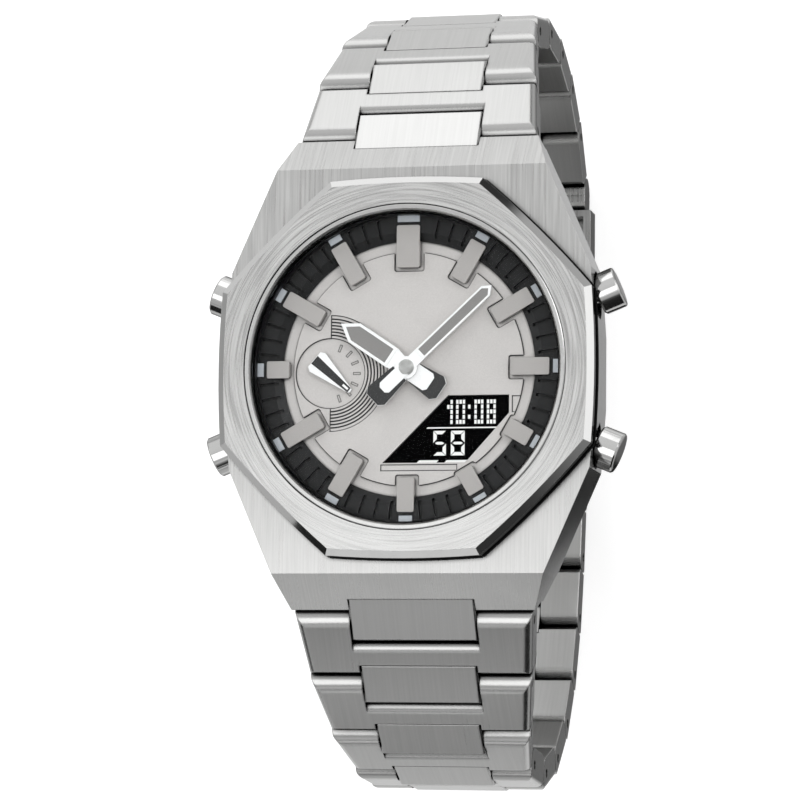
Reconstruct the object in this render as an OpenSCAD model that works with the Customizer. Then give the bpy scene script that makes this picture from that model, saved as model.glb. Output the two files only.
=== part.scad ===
// Sports watch on its closed steel bracelet, millimetres.
// Dial up is +Z, twelve o'clock is +Y, three o'clock is +X.
// The watch stands on its folded clasp, whose outer face is the plane z = 0.

/* [Bezel and glass] */

// Width of the octagonal bezel across two opposite sides
bezel_w = 42; // [41.4:0.1:43]
// Width of the polished bevel around the bezel
bezel_bevel = 0.75; // [0.6:0.05:1.2]
// Height of the bezel above the case
bezel_h = 2.7; // [2.4:0.1:3]
// Bulge of each bezel side, as the radius of its curve
side_radius = 110; // [80:5:300]
// Radius of the dial opening, inside the polished ring
opening_r = 17.1; // [16.8:0.05:17.3]
// Width of the polished ring around the glass
ring_w = 0.9; // [0.8:0.05:1]
// Thickness of the glass
glass_t = 1.0; // [0.8:0.05:1.05]

/* [Case] */

// Half length of the case, up to the end of its horns
case_end_y = 26.3; // [26:0.1:26.6]
// Half length of the flat top of the case
ridge_y = 22.5; // [22.2:0.1:23]
// Half width of the flat top at its end
ridge_x = 15.2; // [14.6:0.1:15.6]
// Wall of the case middle outside its cavity, up to the back screws
screw_wall = 1.25; // [1.1:0.05:1.4]
// Half width of the case at the end of its horns
horn_x = 13.7; // [13.4:0.1:14]
// Half width of the case at its middle
waist_x = 20.7; // [20.4:0.1:21]
// Height of the case middle
case_h = 8.2; // [8:0.1:9]
// Thickness of the case back
back_t = 1.2; // [1:0.1:1.6]

/* [Dial] */

// Width of the grooved ring around the dial, with its slope
groove_ring_w = 2.95; // [2.7:0.05:3.1]
// Width of the slope on the inner side of the grooved ring
ring_slope_w = 0.95; // [0.8:0.05:1.1]
// Width of the low step between the raised middle and the grooved ring
step_w = 1.25; // [1.1:0.05:1.4]
// Width of the hour markers
marker_w = 1.9; // [1.7:0.1:2.2]
// Width of the marker at twelve
marker_12_w = 2.6; // [2.2:0.1:2.8]
// Radius of the small day dial
day_r = 3.95; // [3.7:0.05:4.1]
// Outer radius of the grooved fan beside the day dial
fan_r = 6.5; // [6.2:0.05:6.6]
// Distance of the small day dial from the centre
day_x = 8.8; // [8.6:0.1:9]

/* [Hands] */

// Length of the minute hand
minute_len = 13.0; // [12:0.1:13.4]
// Width of the minute hand
minute_w = 1.45; // [1.3:0.05:1.6]
// Length of the hour hand
hour_len = 9.0; // [8:0.1:9.2]
// Width of the hour hand
hour_w = 2.45; // [2.2:0.05:2.6]
// Clock time shown, minutes past the hour
shown_minute = 7.8; // [0:0.1:59.9]
// Clock time shown, hours
shown_hour = 10; // [0:1:11]
// Direction of the day hand, degrees clockwise from twelve
day_dir = 131; // [100:1:170]

/* [Push buttons] */

// Direction of each push button from the three to nine line
button_dir = 22; // [21:0.5:23]
// Diameter of the button head
button_d = 4.6; // [4:0.1:4.8]
// Length of the button head
button_len = 2.1; // [1.8:0.1:2.4]
// Travel of each push button
button_travel = 0.7; // [0.4:0.1:0.7]

/* [Bracelet] */

// Distance from hinge to hinge
pitch = 8.0; // [7.9:0.05:8.1]
// Thickness of the bracelet
link_t = 3.8; // [3.6:0.1:3.9]
// Width of the bracelet at the case
band_w0 = 26.9; // [26.4:0.1:27.2]
// Width of the first tapering step
band_w1 = 25.2; // [24.8:0.1:25.6]
// Width of the second tapering step
band_w2 = 22.9; // [22.4:0.1:23.2]
// Width of the narrow part of the bracelet
band_w3 = 20.6; // [20.2:0.1:20.8]
// Width of a centre block as a share of the bracelet width
block_share = 0.54; // [0.52:0.01:0.56]
// Width of the bridge of an outer link, along the bracelet
bridge_w = 2.9; // [2.7:0.05:3]
// Diameter of the hinge pins
pin_d = 1.1; // [1:0.05:1.2]
// Rounding of the outer edges of the links
edge_r = 0.9; // [0.6:0.05:1]
// Rounding of the bridge where it faces the block
roll_r = 1.2; // [0.9:0.05:1.4]

/* [Clasp] */

// Length of the clasp from hinge to hinge
clasp_len = 38.5; // [38:0.1:39]
// Width of the clasp cover
cover_w = 22.2; // [22:0.1:22.8]
// Thickness of the cover plate
cover_t = 1.0; // [0.9:0.05:1.1]
// Thickness of the folding blades
blade_t = 0.9; // [0.8:0.05:0.9]
// Width of the folding blades
blade_w = 16.4; // [15:0.1:17]

/* [Loop shape] */

// Slope of the first link, degrees
slope_start = 33; // [32:0.5:35]
// Slope of the last link on the twelve side, degrees
slope_end_12 = 142; // [140:0.5:144]
// Slope of the last link on the six side, degrees
slope_end_6 = 170; // [168:0.5:172]
// Share of the bend that comes late on the twelve side
late_12 = 1.0; // [0.96:0.01:1.04]

/* [Hidden] */

// Clearances and press fits
run_gap = 0.04;
side_gap = 0.06;
end_gap = 0.12;
seat = 0.01;
seam = 0.08;

// Counts of links
n12 = 8;
n6 = 10;

// Slope of the end block fixed in the case, and where its hinge sits
slope_horn = 30;
piv_y = case_end_y + 0.9;
piv_d = 8.6;

// Slopes along the twelve side, and hinge points as distance outward and depth
slope12 = [for (k = [1:n12]) slope_start
  + (slope_end_12 - slope_start) * pow((k - 1) / (n12 - 1), late_12)];
function walk(a, n) = [for (i = 0, y = piv_y, d = piv_d; i <= n;
  y = y + (i < n ? pitch * cos(a[i]) : 0),
  d = d + (i < n ? pitch * sin(a[i]) : 0), i = i + 1) [y, d]];
at12 = walk(slope12, n12);
end_d = at12[n12][1];
end_y12 = at12[n12][0];
end_y6 = clasp_len - end_y12;

// The six side bends by an S curve whose two numbers close the loop
function total(v, i = 0) = i == len(v) ? 0 : v[i] + total(v, i + 1);
function curve(u, a, g) = let (v = pow(u, g)) pow(v, a) / (pow(v, a) + pow(1 - v, a));
function slopes6(a, g) = [for (k = [1:n6]) slope_start
  + (slope_end_6 - slope_start) * curve((k - 1) / (n6 - 1), a, g)];
function reach6(a, g) = piv_y + pitch * total([for (t = slopes6(a, g)) cos(t)]);
function depth6(a, g) = piv_d + pitch * total([for (t = slopes6(a, g)) sin(t)]);
function find_g(a, lo = 0.3, hi = 3, i = 0) = let (m = (lo + hi) / 2)
  i == 34 ? m : reach6(a, m) < end_y6 ? find_g(a, m, hi, i + 1) : find_g(a, lo, m, i + 1);
function find_a(lo = 0.7, hi = 5, i = 0) = let (m = (lo + hi) / 2)
  i == 34 ? m : depth6(m, find_g(m)) > end_d ? find_a(m, hi, i + 1) : find_a(lo, m, i + 1);
bend_a = find_a();
bend_g = find_g(bend_a);
slope6 = slopes6(bend_a, bend_g);
at6 = walk(slope6, n6);

// Height of the bezel top above the floor, then levels below it
lift = end_d + link_t / 2;
z_case = -bezel_h;
z_bottom = z_case - case_h;
z_glass = -0.2;
z_glass_low = z_glass - glass_t;
z_minute = -1.75;
z_hour = -2.15;
z_day = -2.62;
hand_t = 0.25;
z_mark = -1.95;
z_ring = -2.2;
z_dial = -2.95;
dial_t = 0.6;
raise_h = 0.25;
z_module = z_dial - dial_t;
module_low = -9.6;
bezel_hole_r = opening_r + ring_w;
cavity_r = opening_r + 0.05;
dial_r = opening_r - 0.1;
movement_r = cavity_r - 0.25;
ring_in_r = opening_r - groove_ring_w;
raised_r = ring_in_r - step_w;
ring_mid_r = ring_in_r + ring_slope_w;
marker_in = raised_r - 1.75;
marker_out = opening_r - 1.25;
z_button = -6.6;
stem_d = 1.6;
wall_r = 21.9;
arbor_d = 1.0;
tube_d = 2.0;
day_pin_d = 0.8;
screw_r = cavity_r + screw_wall;
screw_d = 1.2;
back_r = screw_r + 1.2;
pocket_r = cavity_r + 1.75;

// Bracelet widths at each hinge, from the case outward
function band_w(i) = i <= 0 ? band_w0 : i == 1 ? band_w1 : i == 2 ? band_w2 : band_w3;
function block_w(i) = block_share * (band_w(i - 1) * 0.7 + band_w(i) * 0.3);
bridge_s = link_t / 2 + end_gap;
block_s = bridge_s + bridge_w;
bar_end = pitch - link_t / 2 - end_gap;

// Clasp hinges, as distances along Y and heights above the floor
y_a = end_y12 - 5.4;
y_b = -end_y6 + 7.0;
z_a = 2.65;
z_b = 2.0;
r_a = 1.15;
r_b = 0.85;

// Places a shape at the head, with z = 0 at the bezel top
module head() {
  translate([0, 0, lift]) children();
}

// Rod along X, centred on the origin
module rod(d, w) {
  rotate([0, 90, 0]) cylinder(d = d, h = w, center = true, $fn = 40);
}

// Places a link shape on one side of the bracelet at hinge i, along slope a
module on_side(side, at, a) {
  translate([0, side * at[0], lift - at[1]])
    rotate([0, 0, side > 0 ? 0 : 180])
      rotate([-a, 0, 0]) children();
}

// Octagon with gently bulging sides and a bevel, top at z = 0
module octagon(w, h, bevel) {
  intersection_for (i = [0:7]) {
    rotate([0, 0, 45 * i]) translate([w / 2 - side_radius, 0, 0])
      rotate_extrude($fn = 360) polygon([[0, -h], [side_radius, -h],
        [side_radius, -bevel * 0.8], [side_radius - bevel, 0], [0, 0]]);
  }
}

// Outline of the case seen from above
module case_outline() {
  polygon([[horn_x, case_end_y], [ridge_x, ridge_y], [waist_x - 0.5, 11.0], [waist_x, 4],
    [waist_x, -4], [waist_x - 0.5, -11.0], [ridge_x, -ridge_y], [horn_x, -case_end_y],
    [-horn_x, -case_end_y], [-ridge_x, -ridge_y], [-waist_x + 0.5, -11.0], [-waist_x, -4],
    [-waist_x, 4], [-waist_x + 0.5, 11.0], [-ridge_x, ridge_y], [-horn_x, case_end_y]]);
}

// Sloping cut over one horn, and the rounding cut under it
module horn_cuts() {
  translate([-30, ridge_y, z_case]) rotate([-43, 0, 0]) cube([60, 20, 20]);
  translate([-30, case_end_y - 4.5, z_bottom]) rotate([30, 0, 0]) translate([0, 0, -12])
    cube([60, 20, 12]);
  translate([0, piv_y, -piv_d]) rod(link_t + 2 * end_gap, 60);
}

// Body of the fixed block in the horn, in the frame of its hinge
module horn_block_shape(w, extra) {
  translate([-w / 2, -5.4, -link_t / 2 - extra]) cube([w, 5.4, link_t + 2 * extra]);
}

module button_place(dir) {
  rotate([0, 0, dir]) translate([0, 0, z_button]) rotate([0, 90, 0]) children();
}

module case_body() {
  color([0.72, 0.72, 0.72]) head() difference() {
    translate([0, 0, z_bottom]) linear_extrude(height = case_h) case_outline();
    for (s = [0, 180]) {
      rotate([0, 0, s]) horn_cuts();
    }
    translate([0, 0, z_bottom - 1]) cylinder(r = cavity_r, h = case_h + 2, $fn = 180);
    for (d = [button_dir, -button_dir, 180 + button_dir, 180 - button_dir]) {
      button_place(d) {
        cylinder(d = stem_d + 2 * run_gap, h = 30, $fn = 40);
        cylinder(d = 3.2, h = pocket_r, $fn = 48);
        translate([0, 0, wall_r - 0.7]) cylinder(d = button_d + 0.5, h = 12, $fn = 64);
      }
    }
    for (i = [0:3]) {
      rotate([0, 0, 45 + 90 * i]) translate([screw_r, 0, z_bottom - 1])
        cylinder(d = screw_d, h = 5, $fn = 32);
    }
    for (s = [0, 180]) {
      rotate([0, 0, s]) translate([0, piv_y, -piv_d]) rotate([-slope_horn, 0, 0]) {
        horn_block_shape(block_w(1) + 2 * seat, 0.02);
        translate([0, -3.7, 0]) rod(pin_d, 20.4);
      }
    }
  }
}

module bezel() {
  color([0.8, 0.8, 0.8]) head() difference() {
    octagon(bezel_w, bezel_h, bezel_bevel);
    translate([0, 0, -bezel_h - 1]) cylinder(r = bezel_hole_r, h = bezel_h + 2, $fn = 180);
  }
}

module glass_ring() {
  color([0.85, 0.85, 0.85]) head() rotate_extrude($fn = 180)
    polygon([[opening_r + seat, z_case], [bezel_hole_r - seat, z_case],
      [bezel_hole_r - seat, -0.12], [bezel_hole_r - 0.2, -0.02], [opening_r + 0.35, -0.02],
      [opening_r + seat, -0.5]]);
}

module crystal() {
  color([0.85, 0.9, 0.92, 0.3]) head() translate([0, 0, z_glass_low])
    cylinder(r = opening_r, h = glass_t, $fn = 180);
}

module chapter_ring() {
  color([0.05, 0.05, 0.05]) head() difference() {
    rotate_extrude($fn = 180) polygon([[ring_in_r, z_dial], [opening_r - seat, z_dial],
      [opening_r - seat, z_glass_low], [opening_r - 0.16, z_glass_low],
      [opening_r - 0.16, z_ring], [ring_mid_r, z_ring], [ring_in_r, z_dial + 0.22]]);
    for (i = [2:58]) {
      if (i % 5 != 0) rotate([0, 0, 90 - 6 * i]) rotate([90, 0, 0]) ring_groove();
    }
  }
}

// Groove that runs over the flat of the ring and down its slope
module ring_groove() {
  translate([0, 0, -0.17]) linear_extrude(height = 0.34) polygon([
    [ring_mid_r - 0.45, z_ring - 0.5], [ring_mid_r - 0.05, z_ring - 0.32],
    [opening_r - 0.36, z_ring - 0.32], [opening_r - 0.36, z_ring + 0.5],
    [ring_mid_r - 0.45, z_ring + 0.5]]);
}

module minute_chips() {
  color([0.82, 0.81, 0.78]) head() for (i = [0:11]) {
    w = i == 0 ? marker_12_w : marker_w;
    rotate([0, 0, 30 * i]) translate([-w / 2, marker_out + 0.33, z_ring])
      cube([w, 0.74, 0.14]);
  }
}

// Window of the digital display, grown by e on every side
module lcd_window(e) {
  polygon([[4.5 - e * 0.41, -3 + e], [11.3 + e, -3 + e], [11.3 + e, -5 - e * 0.41],
    [6.5 + e * 0.41, -10.4 - e], [-2.8 - e * 2.41, -10.4 - e]]);
}

module dial_plate() {
  color([0.77, 0.76, 0.74]) head() difference() {
    union() {
      translate([0, 0, z_dial - dial_t]) cylinder(r = dial_r, h = dial_t, $fn = 180);
      translate([0, 0, z_dial - 0.1]) linear_extrude(height = raise_h + 0.1) raised_outline();
    }
    translate([0, 0, z_dial - 2]) linear_extrude(height = 4) lcd_window(0);
    translate([0, 0, z_dial - 2]) cylinder(d = tube_d + 0.3, h = 4, $fn = 48);
    translate([-day_x, -0.4, 0]) {
      translate([0, 0, z_dial - 2]) cylinder(d = day_pin_d + 0.2, h = 4, $fn = 32);
      translate([0, 0, z_dial + 0.05]) cylinder(r = day_r, h = 4, $fn = 96);
      rotate([0, 0, -90]) rotate_extrude(angle = 180, $fn = 96)
        translate([day_r - 0.2, z_dial + raise_h - 0.1]) square([fan_r - day_r + 0.2, 1]);
      for (i = [0:5]) {
        rotate([0, 0, -89.5]) rotate_extrude(angle = 179, $fn = 96)
          translate([day_r + 0.22 + i * 0.36, z_dial + raise_h - 0.2]) square([0.17, 1]);
      }
    }
    lcd_frame_cut(11.6, -4.95, 1.35, 1.85);
    lcd_frame_cut(-3.0, -11.3, 8.6, 0.75);
  }
}

// Shallow rectangular step beside the display
module lcd_frame_cut(x, y, w, h) {
  translate([x, y, z_dial + raise_h - 0.08]) cube([w, h, 1]);
}

// Outline of the raised middle, with a pocket around the foot of each marker
module raised_outline() {
  difference() {
    circle(r = raised_r, $fn = 180);
    for (i = [0:11]) {
      w = (i == 0 ? marker_12_w : marker_w) + 0.8;
      rotate([0, 0, -30 * i]) translate([0, marker_start(i) - 0.38]) {
        translate([-w / 2, 0.3]) square([w, 5]);
        translate([-w / 2 + 0.3, 0]) square([w - 0.6, 5]);
        translate([-w / 2 + 0.3, 0.3]) circle(r = 0.3, $fn = 32);
        translate([w / 2 - 0.3, 0.3]) circle(r = 0.3, $fn = 32);
      }
    }
  }
}

// Radius at which a marker starts
function marker_start(i) = marker_in + (i == 9 ? 2.15 : i == 4 || i == 5 ? 1.75
  : i == 6 ? 0.9 : i == 3 ? 0.4 : 0);

// Rectangle with rounded corners from radius r1 to r2
module marker_outline(r1, r2, w) {
  c = 0.2;
  translate([-w / 2, r1 + c]) square([w, r2 - r1 - 2 * c]);
  translate([-w / 2 + c, r1]) square([w - 2 * c, r2 - r1]);
  for (x = [-w / 2 + c, w / 2 - c]) {
    for (y = [r1 + c, r2 - c]) {
      translate([x, y]) circle(r = c, $fn = 32);
    }
  }
}

// One hour marker: a block over the ring, with a foot on the dial
module marker(r1, r2, w) {
  translate([0, 0, z_ring]) linear_extrude(height = z_mark - z_ring)
    marker_outline(r1, r2, w);
  translate([-w / 2 + 0.02, r1 + 0.2, z_dial])
    cube([w - 0.04, ring_in_r - 0.25 - r1, z_ring - z_dial + 0.1]);
  translate([-w / 2 + 0.22, r1 + 0.02, z_dial]) cube([w - 0.44, 0.4, z_ring - z_dial + 0.1]);
}

module hour_markers() {
  color([0.65, 0.64, 0.62]) head() for (i = [0:11]) {
    rotate([0, 0, -30 * i])
      marker(marker_start(i), marker_out, i == 0 ? marker_12_w : marker_w);
  }
}

module lcd_panel() {
  color([0.04, 0.04, 0.05]) head() translate([0, 0, z_module + 0.02])
    linear_extrude(height = dial_t - 0.1) lcd_window(-0.03);
}

module movement() {
  color([0.5, 0.5, 0.52]) head() difference() {
    translate([0, 0, module_low]) cylinder(r = movement_r, h = z_module - module_low, $fn = 180);
    translate([0, 0, z_module - 2.2]) cylinder(d = tube_d + 2 * run_gap, h = 4, $fn = 48);
    translate([0, 0, z_module - 3.4]) cylinder(d = arbor_d + 2 * run_gap, h = 4, $fn = 32);
    translate([-day_x, -0.4, z_module - 1.6])
      cylinder(d = day_pin_d + 2 * run_gap, h = 4, $fn = 32);
    translate([5, 5, module_low - 1]) cylinder(d = 9.5, h = 2.6, $fn = 96);
  }
}

module case_back() {
  color([0.68, 0.68, 0.69]) head() difference() {
    union() {
      translate([0, 0, z_bottom - back_t]) cylinder(r = back_r, h = back_t, $fn = 180);
      translate([0, 0, z_bottom - 0.1]) cylinder(r = dial_r, h = module_low - z_bottom + 0.1,
        $fn = 180);
    }
    translate([0, 0, z_bottom - back_t - 1]) cylinder(r = 13.5, h = 1.3, $fn = 120);
    for (i = [0:3]) {
      rotate([0, 0, 45 + 90 * i]) translate([screw_r, 0, 0]) {
        translate([0, 0, z_bottom - 3]) cylinder(d = screw_d + 0.1, h = 4, $fn = 32);
        translate([0, 0, z_bottom - back_t - 1]) cylinder(d = 2.1, h = 1.5, $fn = 40);
      }
    }
  }
}

module back_screws() {
  color([0.6, 0.6, 0.6]) head() for (i = [0:3]) {
    rotate([0, 0, 45 + 90 * i]) translate([screw_r, 0, 0]) difference() {
      union() {
        translate([0, 0, z_bottom - back_t + 0.1]) cylinder(d = 2.0, h = 0.4, $fn = 40);
        translate([0, 0, z_bottom - back_t + 0.3])
          cylinder(d = screw_d - 2 * seat, h = back_t + 3, $fn = 32);
      }
      translate([-2, -0.15, z_bottom - back_t - 1]) cube([4, 0.3, 1.25]);
    }
  }
}

// Push button along its own axis: head, stem and inner collar
module push_button(dir) {
  head() button_place(dir) {
    rotate_extrude($fn = 64) polygon([[0, pocket_r - 0.6], [1.3, pocket_r - 0.6],
      [1.3, pocket_r - 0.1], [stem_d / 2, pocket_r - 0.1],
      [stem_d / 2, wall_r + 0.15], [button_d / 2 - 0.25, wall_r + 0.15],
      [button_d / 2, wall_r + 0.4], [button_d / 2, wall_r + 0.5 + button_len],
      [button_d / 2 - 0.15, wall_r + 0.65 + button_len],
      [button_d / 2 - 0.45, wall_r + 0.7 + button_len], [0, wall_r + 0.7 + button_len]]);
  }
}

module button_2() {
  color([0.85, 0.85, 0.85]) push_button(button_dir);
}

module button_4() {
  color([0.85, 0.85, 0.85]) push_button(-button_dir);
}

module button_8() {
  color([0.85, 0.85, 0.85]) push_button(180 + button_dir);
}

module button_10() {
  color([0.85, 0.85, 0.85]) push_button(180 - button_dir);
}

// Flat hand pointing along +Y: a blade, a ring at the hub and a block behind it
module hand_shape(len, tip, w, neck, tail, tail_w, hole) {
  linear_extrude(height = hand_t) difference() {
    union() {
      polygon([[-w / 2, 2.0], [-w / 2, len - tip], [0, len], [w / 2, len - tip], [w / 2, 2.0],
        [neck / 2, 1.0], [neck / 2, -1.5], [-neck / 2, -1.5], [-neck / 2, 1.0]]);
      polygon([[-tail_w / 2 + 0.35, -0.9], [-tail_w / 2, 0.6 - tail], [0.5 - tail_w / 2, -tail],
        [tail_w / 2 - 0.5, -tail], [tail_w / 2, 0.6 - tail], [tail_w / 2 - 0.35, -0.9]]);
      circle(r = 1.25, $fn = 64);
    }
    circle(d = hole, $fn = 40);
  }
}

module hour_hand() {
  color([0.88, 0.88, 0.86]) head() rotate([0, 0, -30 * (shown_hour + shown_minute / 60)]) {
    translate([0, 0, z_hour]) hand_shape(hour_len, 1.85, hour_w, 1.9, 4.7, 3.0, tube_d - 0.1);
    difference() {
      translate([0, 0, z_module - 2.0]) cylinder(d = tube_d, h = z_hour + hand_t - z_module + 2,
        $fn = 48);
      translate([0, 0, z_module - 3]) cylinder(d = arbor_d + 2 * run_gap, h = 9, $fn = 32);
    }
  }
}

module minute_hand() {
  color([0.88, 0.88, 0.86]) head() rotate([0, 0, -6 * shown_minute])
    translate([0, 0, z_minute])
      hand_shape(minute_len, 0.9, minute_w, minute_w, 5.15, 2.8, arbor_d + 2 * seat);
}

module hand_cap() {
  color([0.9, 0.9, 0.9]) head() {
    translate([0, 0, z_module - 3.2]) cylinder(d = arbor_d, h = z_minute - z_module + 3.3,
      $fn = 32);
    translate([0, 0, z_minute + hand_t]) cylinder(d1 = 1.8, d2 = 1.3, h = 0.2, $fn = 48);
    translate([0, 0, z_minute]) cylinder(d = arbor_d, h = hand_t + 0.1, $fn = 32);
  }
}

module day_hand() {
  color([0.8, 0.8, 0.78]) head() translate([-day_x, -0.4, 0]) rotate([0, 0, -day_dir]) {
    translate([0, 0, z_day]) linear_extrude(height = 0.22)
      polygon([[-1.35, -1.85], [-1.05, -2.35], [1.05, -2.35], [1.35, -1.85], [0.3, 3.0],
        [0.15, 3.15], [-0.15, 3.15], [-0.3, 3.0]]);
    translate([0, 0, z_module - 1.4]) cylinder(d = day_pin_d, h = z_day - z_module + 1.5,
      $fn = 32);
  }
}

// Both blocks fixed in the horns, with their cross pins
module end_blocks() {
  color([0.74, 0.74, 0.74]) for (side = [1, -1]) {
    on_side(side, [piv_y, piv_d], slope_horn) {
      difference() {
        union() {
          intersection() {
            horn_block_shape(block_w(1), 0);
            translate([-10, -5.35, -5]) cube([20, 10, 10]);
          }
          rod(link_t, block_w(1));
          nose(block_w(1));
        }
        rod(pin_d + 2 * run_gap, 30);
        translate([0, -3.7, 0]) rod(pin_d, 30);
        block_bevels(block_w(1), -6, 0);
        nose_bevel(block_w(1));
      }
      translate([0, -3.7, 0]) rod(pin_d - 2 * seat, 20.2);
    }
  }
}

// Square outer half of a block's nose, with the hinge at the origin
nose_s = link_t / 2 - 0.15;
module nose(w) {
  translate([-w / 2, 0, 0]) cube([w, nose_s, link_t / 2]);
}

module nose_bevel(w) {
  translate([0, nose_s, link_t / 2]) rotate([45, 0, 0]) cube([w + 2, 0.3, 0.3], center = true);
}

// Cuts that bevel the long outer edges of a block between s0 and s1
module block_bevels(w, s0, s1) {
  for (m = [-1, 1]) {
    translate([m * w / 2, (s0 + s1) / 2, link_t / 2]) rotate([0, 45, 0])
      cube([0.3, s1 - s0 + 8, 0.3], center = true);
  }
}

// Corner cut that leaves a rounding of radius r along Y, corner at the origin
module edge_cut(r) {
  difference() {
    translate([-r, -5, -r]) cube([r + 2, 40, r + 2]);
    translate([-r, -6, -r]) rotate([-90, 0, 0]) cylinder(r = r, h = 42, $fn = 64);
  }
}

// Outer link: two bars and a bridge, from width w0 to width w1
module outer_link(w0, w1, near_w, far_w) {
  taper = atan((w0 - w1) / 2 / (bar_end + link_t / 2));
  difference() {
    intersection() {
      union() {
        rod(link_t, w0 + 1);
        translate([-w0 / 2 - 1, 0, -link_t / 2]) cube([w0 + 2, bar_end, link_t]);
      }
      translate([0, 0, -link_t]) linear_extrude(height = 2 * link_t)
        polygon([[-w0 / 2, -link_t / 2], [w0 / 2, -link_t / 2], [w1 / 2, bar_end + 0.01],
          [-w1 / 2, bar_end + 0.01]]);
    }
    translate([-near_w / 2 - side_gap, -link_t, -link_t])
      cube([near_w + 2 * side_gap, link_t + bridge_s, 2 * link_t]);
    difference() {
      translate([-near_w / 2 - side_gap, bridge_s - 0.1, link_t / 2 - roll_r])
        cube([near_w + 2 * side_gap, roll_r + 0.1, roll_r + 1]);
      translate([0, bridge_s + roll_r, link_t / 2 - roll_r]) rod(2 * roll_r, near_w + 4);
    }
    translate([-far_w / 2 - seam, block_s - seam, -link_t])
      cube([far_w + 2 * seam, pitch, 2 * link_t]);
    translate([-far_w * 0.3 - seat, block_s - 1.1, -0.7])
      cube([far_w * 0.6 + 2 * seat, 2, 1.4]);
    rod(pin_d, w0 + 4);
    for (m = [0, 1]) {
      mirror([m, 0, 0]) translate([w0 / 2, -link_t / 2, link_t / 2]) rotate([0, 0, taper])
        edge_cut(edge_r);
    }
    translate([0, bar_end, -link_t / 2]) rotate([45, 0, 0]) cube([w0 + 4, 0.9, 0.9], center = true);
    translate([0, bar_end, link_t / 2]) rotate([45, 0, 0])
      cube([w0 + 4, 0.45, 0.45], center = true);
  }
  rod(pin_d - 2 * seat, w1 - 0.6);
}

// Centre block ahead of an outer link, with its nose at the next hinge
module centre_link(w) {
  difference() {
    union() {
      translate([-w / 2, block_s + seat, -link_t / 2]) cube([w, pitch - block_s - seat, link_t]);
      translate([0, pitch, 0]) rod(link_t, w);
      translate([0, pitch, 0]) nose(w);
      translate([-w * 0.3, block_s - 1.0, -0.7 + seat]) cube([w * 0.6, 2, 1.4 - 2 * seat]);
    }
    translate([0, pitch, 0]) rod(pin_d + 2 * run_gap, w + 4);
    block_bevels(w, block_s, pitch);
    translate([0, pitch, 0]) nose_bevel(w);
  }
}

module outer_12(k) {
  color([0.78, 0.78, 0.78]) on_side(1, at12[k - 1], slope12[k - 1])
    outer_link(band_w(k - 1), band_w(k), block_w(k), block_w(k + 1));
}

module centre_12(k) {
  color([0.7, 0.7, 0.7]) on_side(1, at12[k - 1], slope12[k - 1]) centre_link(block_w(k + 1));
}

module outer_6(k) {
  color([0.78, 0.78, 0.78]) on_side(-1, at6[k - 1], slope6[k - 1])
    outer_link(band_w(k - 1), band_w(k), block_w(k), block_w(k + 1));
}

module centre_6(k) {
  color([0.7, 0.7, 0.7]) on_side(-1, at6[k - 1], slope6[k - 1]) centre_link(block_w(k + 1));
}

module outer_12_1() {
  outer_12(1);
}

module outer_12_2() {
  outer_12(2);
}

module outer_12_3() {
  outer_12(3);
}

module outer_12_4() {
  outer_12(4);
}

module outer_12_5() {
  outer_12(5);
}

module outer_12_6() {
  outer_12(6);
}

module outer_12_7() {
  outer_12(7);
}

module outer_12_8() {
  outer_12(8);
}

module centre_12_1() {
  centre_12(1);
}

module centre_12_2() {
  centre_12(2);
}

module centre_12_3() {
  centre_12(3);
}

module centre_12_4() {
  centre_12(4);
}

module centre_12_5() {
  centre_12(5);
}

module centre_12_6() {
  centre_12(6);
}

module centre_12_7() {
  centre_12(7);
}

module centre_12_8() {
  centre_12(8);
}

module outer_6_1() {
  outer_6(1);
}

module outer_6_2() {
  outer_6(2);
}

module outer_6_3() {
  outer_6(3);
}

module outer_6_4() {
  outer_6(4);
}

module outer_6_5() {
  outer_6(5);
}

module outer_6_6() {
  outer_6(6);
}

module outer_6_7() {
  outer_6(7);
}

module outer_6_8() {
  outer_6(8);
}

module outer_6_9() {
  outer_6(9);
}

module outer_6_10() {
  outer_6(10);
}

module centre_6_1() {
  centre_6(1);
}

module centre_6_2() {
  centre_6(2);
}

module centre_6_3() {
  centre_6(3);
}

module centre_6_4() {
  centre_6(4);
}

module centre_6_5() {
  centre_6(5);
}

module centre_6_6() {
  centre_6(6);
}

module centre_6_7() {
  centre_6(7);
}

module centre_6_8() {
  centre_6(8);
}

module centre_6_9() {
  centre_6(9);
}

module centre_6_10() {
  centre_6(10);
}

// Inner blade of the clasp, hinged on the last centre block of the six side
module lower_blade() {
  y0 = -end_y6;
  color([0.75, 0.75, 0.75]) difference() {
    union() {
      translate([0, y0, link_t / 2]) rod(link_t, band_w3);
      translate([-band_w3 / 2, y0, 0]) cube([band_w3, bridge_s + 2.3, link_t]);
      translate([-blade_w / 2, y0 + 2, link_t - blade_t]) cube([blade_w, y_a - y0 - 2, blade_t]);
      translate([0, y_a, z_a]) rod(2 * r_a, blade_w);
    }
    translate([-block_w(9) / 2 - side_gap, y0 - link_t, -1])
      cube([block_w(9) + 2 * side_gap, link_t + bridge_s, link_t + 2]);
    translate([0, y0, link_t / 2]) rod(pin_d, band_w3 + 4);
    translate([-blade_w / 2 + 3 - side_gap, y_a - r_a - 1, -1])
      cube([blade_w - 6 + 2 * side_gap, 10, link_t - blade_t + 1]);
    translate([-blade_w / 2 + 3 - side_gap, y_a - r_a - 0.5, 0])
      cube([blade_w - 6 + 2 * side_gap, 10, link_t + 1]);
    translate([0, y_a, z_a]) rod(0.9, blade_w + 4);
  }
  color([0.75, 0.75, 0.75]) {
    translate([0, y0, link_t / 2]) rod(pin_d - 2 * seat, band_w3 - 0.6);
    translate([0, y_a, z_a]) rod(0.9 - 2 * seat, blade_w - 0.2);
  }
}

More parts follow.
